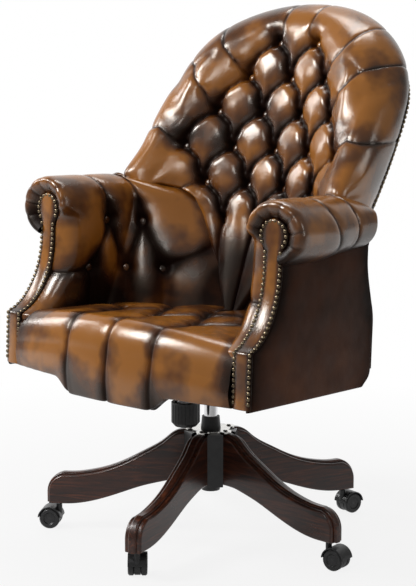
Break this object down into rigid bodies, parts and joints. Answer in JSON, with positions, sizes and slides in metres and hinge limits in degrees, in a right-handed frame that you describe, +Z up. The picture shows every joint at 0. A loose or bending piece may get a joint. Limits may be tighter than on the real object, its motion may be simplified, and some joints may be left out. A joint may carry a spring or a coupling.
{
  "type": "swivel office chair",
  "caption": "Deep-buttoned leather director's swivel chair with a high rolled back, scroll arms, gas lift, tilt mechanism and a moulded wooden star base on castors.",
  "frame": {"origin": "on the floor under the swivel axis", "axes": "+Z up, -Y the front that the sitter faces, +X the sitter's left"},
  "size_m": [0.7297, 0.7241, 1.0763],
  "materials": {
    "tan_leather": "hand-rubbed antique tan, polished",
    "dark_leather": "plain dark brown, satin",
    "mahogany": "dark stained, gloss lacquer",
    "frame_timber": "sawn and hidden",
    "black_steel": "black enamel",
    "bright_steel": "zinc plated",
    "nickel": "bright nickel",
    "chrome": "ground and plated",
    "black_plastic": "moulded, satin",
    "castor_black": "moulded, satin"
  },
  "bodies": {
    "base": {"leg_1": "mahogany", "leg_2": "mahogany", "leg_3": "mahogany", "leg_4": "mahogany", "leg_5": "mahogany", "hub_core": "black_steel", "hub_top_plate": "nickel", "leg_screws": "nickel", "castor_sockets": "bright_steel", "castor_stems": "black_steel", "gas_lift_tube": "black_steel", "gas_lift_bush": "black_plastic"},
    "spindle": {"gas_lift_rod": "bright_steel", "lift_clip": "bright_steel", "thrust_bearing": "bright_steel"},
    "column": {"gas_lift_piston": "chrome", "mechanism_housing": "black_steel", "tilt_pin": "bright_steel", "tension_spring": "bright_steel"},
    "release_pin": {"release_pin": "bright_steel"},
    "lever": {"lift_lever": "black_steel", "lever_paddle": "black_plastic"},
    "knob": {"tension_knob": "black_plastic"},
    "seat": {"tilt_plate": "black_steel", "plate_bolts": "bright_steel", "tension_bolt": "bright_steel", "seat_board": "frame_timber", "seat_frame": "frame_timber", "seat_pad": "tan_leather", "back_frame": "frame_timber", "back_pad": "tan_leather", "outside_back": "dark_leather", "arm_pad_left": "tan_leather", "arm_pad_right": "tan_leather", "outside_arm_left": "dark_leather", "outside_arm_right": "dark_leather", "arm_facing_left": "tan_leather", "arm_facing_right": "tan_leather", "arm_frames": "frame_timber", "upholstery_buttons": "tan_leather"},
    "castor_1": {"castor_1_hood": "castor_black", "castor_1_axle": "black_steel"},
    "castor_1_left": {"castor_1_wheel_left": "castor_black"},
    "castor_1_right": {"castor_1_wheel_right": "castor_black"},
    "castor_2": {"castor_2_hood": "castor_black", "castor_2_axle": "black_steel"},
    "castor_2_left": {"castor_2_wheel_left": "castor_black"},
    "castor_2_right": {"castor_2_wheel_right": "castor_black"},
    "castor_3": {"castor_3_hood": "castor_black", "castor_3_axle": "black_steel"},
    "castor_3_left": {"castor_3_wheel_left": "castor_black"},
    "castor_3_right": {"castor_3_wheel_right": "castor_black"},
    "castor_4": {"castor_4_hood": "castor_black", "castor_4_axle": "black_steel"},
    "castor_4_left": {"castor_4_wheel_left": "castor_black"},
    "castor_4_right": {"castor_4_wheel_right": "castor_black"},
    "castor_5": {"castor_5_hood": "castor_black", "castor_5_axle": "black_steel"},
    "castor_5_left": {"castor_5_wheel_left": "castor_black"},
    "castor_5_right": {"castor_5_wheel_right": "castor_black"}
  },
  "joints": [
    {"name": "seat_swivel", "type": "hinge", "parent": "base", "child": "spindle", "pos_m": [0, 0, 0.1], "axis": [0, 0, 1], "continuous": true},
    {"name": "seat_lift", "type": "slide", "parent": "spindle", "child": "column", "axis": [0, 0, 1], "range_m": [-0.015, 0.085]},
    {"name": "seat_tilt", "type": "hinge", "parent": "column", "child": "seat", "pos_m": [0, -0.034, 0.328], "axis": [-1, 0, 0], "range_deg": [0, 10], "stiffness_Nm_per_rad": 160, "springref_deg": -17.19, "deforming": ["tension_spring"]},
    {"name": "tension_knob_turn", "type": "hinge", "parent": "seat", "child": "knob", "pos_m": [0, -0.076, 0.268], "axis": [0, 0, 1], "range_deg": [-720, 720]},
    {"name": "lever_lift", "type": "hinge", "parent": "column", "child": "lever", "pos_m": [-0.03, 0, 0.3268], "axis": [0, 1, 0], "range_deg": [0, 8], "stiffness_Nm_per_rad": 4, "springref_deg": -6.88},
    {"name": "release_pin_press", "type": "slide", "parent": "column", "child": "release_pin", "axis": [0, 0, -1], "range_m": [0, 0.005]},
    {"name": "castor_1_swivel", "type": "hinge", "parent": "base", "child": "castor_1", "pos_m": [0.3208, -0.0112, 0.04], "axis": [0, 0, 1], "continuous": true},
    {"name": "castor_1_left_spin", "type": "hinge", "parent": "castor_1", "child": "castor_1_left", "pos_m": [0.33867, -0.00901, 0.0215], "axis": [-0.1219, 0.9925, 0], "continuous": true},
    {"name": "castor_1_right_spin", "type": "hinge", "parent": "castor_1", "child": "castor_1_right", "pos_m": [0.33867, -0.00901, 0.0215], "axis": [-0.1219, 0.9925, 0], "continuous": true},
    {"name": "castor_2_swivel", "type": "hinge", "parent": "base", "child": "castor_2", "pos_m": [0.10979, 0.30164, 0.04], "axis": [0, 0, 1], "continuous": true},
    {"name": "castor_2_left_spin", "type": "hinge", "parent": "castor_2", "child": "castor_2_left", "pos_m": [0.11384, 0.31918, 0.0215], "axis": [-0.9744, 0.225, 0], "continuous": true},
    {"name": "castor_2_right_spin", "type": "hinge", "parent": "castor_2", "child": "castor_2_right", "pos_m": [0.11384, 0.31918, 0.0215], "axis": [-0.9744, 0.225, 0], "continuous": true},
    {"name": "castor_3_swivel", "type": "hinge", "parent": "base", "child": "castor_3", "pos_m": [-0.25295, 0.19763, 0.04], "axis": [0, 0, 1], "continuous": true},
    {"name": "castor_3_left_spin", "type": "hinge", "parent": "castor_3", "child": "castor_3_left", "pos_m": [-0.26854, 0.20663, 0.0215], "axis": [-0.5, -0.866, 0], "continuous": true},
    {"name": "castor_3_right_spin", "type": "hinge", "parent": "castor_3", "child": "castor_3_right", "pos_m": [-0.26854, 0.20663, 0.0215], "axis": [-0.5, -0.866, 0], "continuous": true},
    {"name": "castor_4_swivel", "type": "hinge", "parent": "base", "child": "castor_4", "pos_m": [-0.26612, -0.1795, 0.04], "axis": [0, 0, 1], "continuous": true},
    {"name": "castor_4_left_spin", "type": "hinge", "parent": "castor_4", "child": "castor_4_left", "pos_m": [-0.28104, -0.18957, 0.0215], "axis": [0.5592, -0.829, 0], "continuous": true},
    {"name": "castor_4_right_spin", "type": "hinge", "parent": "castor_4", "child": "castor_4_right", "pos_m": [-0.28104, -0.18957, 0.0215], "axis": [0.5592, -0.829, 0], "continuous": true},
    {"name": "castor_5_swivel", "type": "hinge", "parent": "base", "child": "castor_5", "pos_m": [0.08848, -0.30856, 0.04], "axis": [0, 0, 1], "continuous": true},
    {"name": "castor_5_left_spin", "type": "hinge", "parent": "castor_5", "child": "castor_5_left", "pos_m": [0.07644, -0.29519, 0.0215], "axis": [-0.7431, -0.6691, 0], "continuous": true},
    {"name": "castor_5_right_spin", "type": "hinge", "parent": "castor_5", "child": "castor_5_right", "pos_m": [0.07644, -0.29519, 0.0215], "axis": [-0.7431, -0.6691, 0], "continuous": true}
  ],
  "couplings": [
    {"joint": "release_pin_press", "follows": "lever_lift", "m_per_rad": 0.034}
  ]
}
